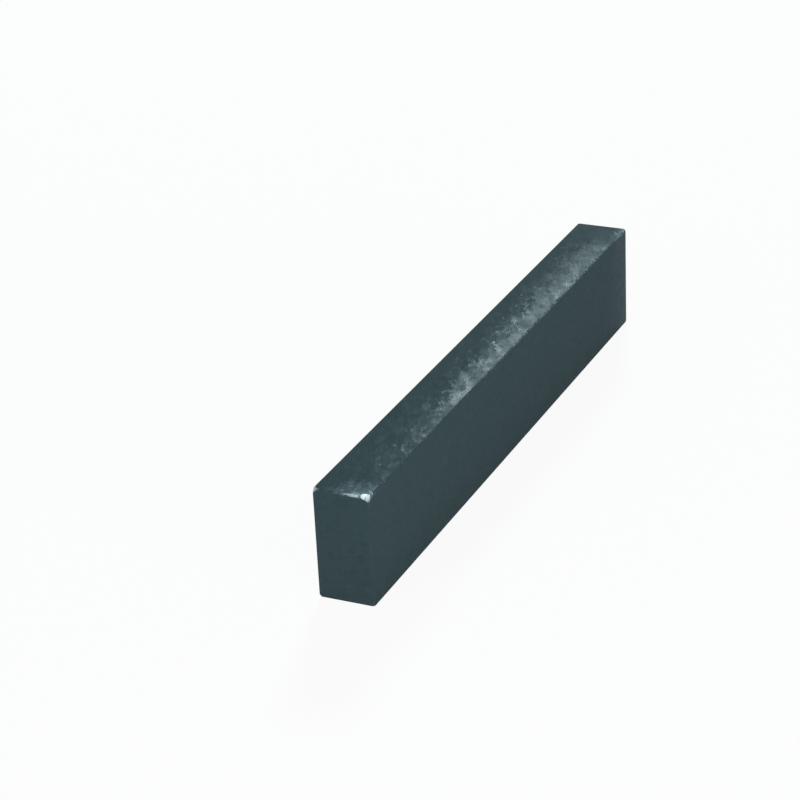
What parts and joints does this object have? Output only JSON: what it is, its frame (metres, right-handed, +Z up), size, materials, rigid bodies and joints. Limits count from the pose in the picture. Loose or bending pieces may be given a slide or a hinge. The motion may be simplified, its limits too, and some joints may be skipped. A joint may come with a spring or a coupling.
{
  "type": "granite precision parallel",
  "caption": "Plain black granite bar, lapped flat and square on its faces, used to raise and support work level above a surface plate.",
  "frame": {"origin": "centre of the narrow base face that the bar stands on", "axes": "+X across the bar's width, +Y along its length, +Z up from the base face to the top work face"},
  "size_m": [0.0126, 0.1524, 0.0254],
  "materials": {
    "granite": "satin"
  },
  "bodies": {
    "root": {"parallel_bar": "granite"}
  },
  "joints": []
}
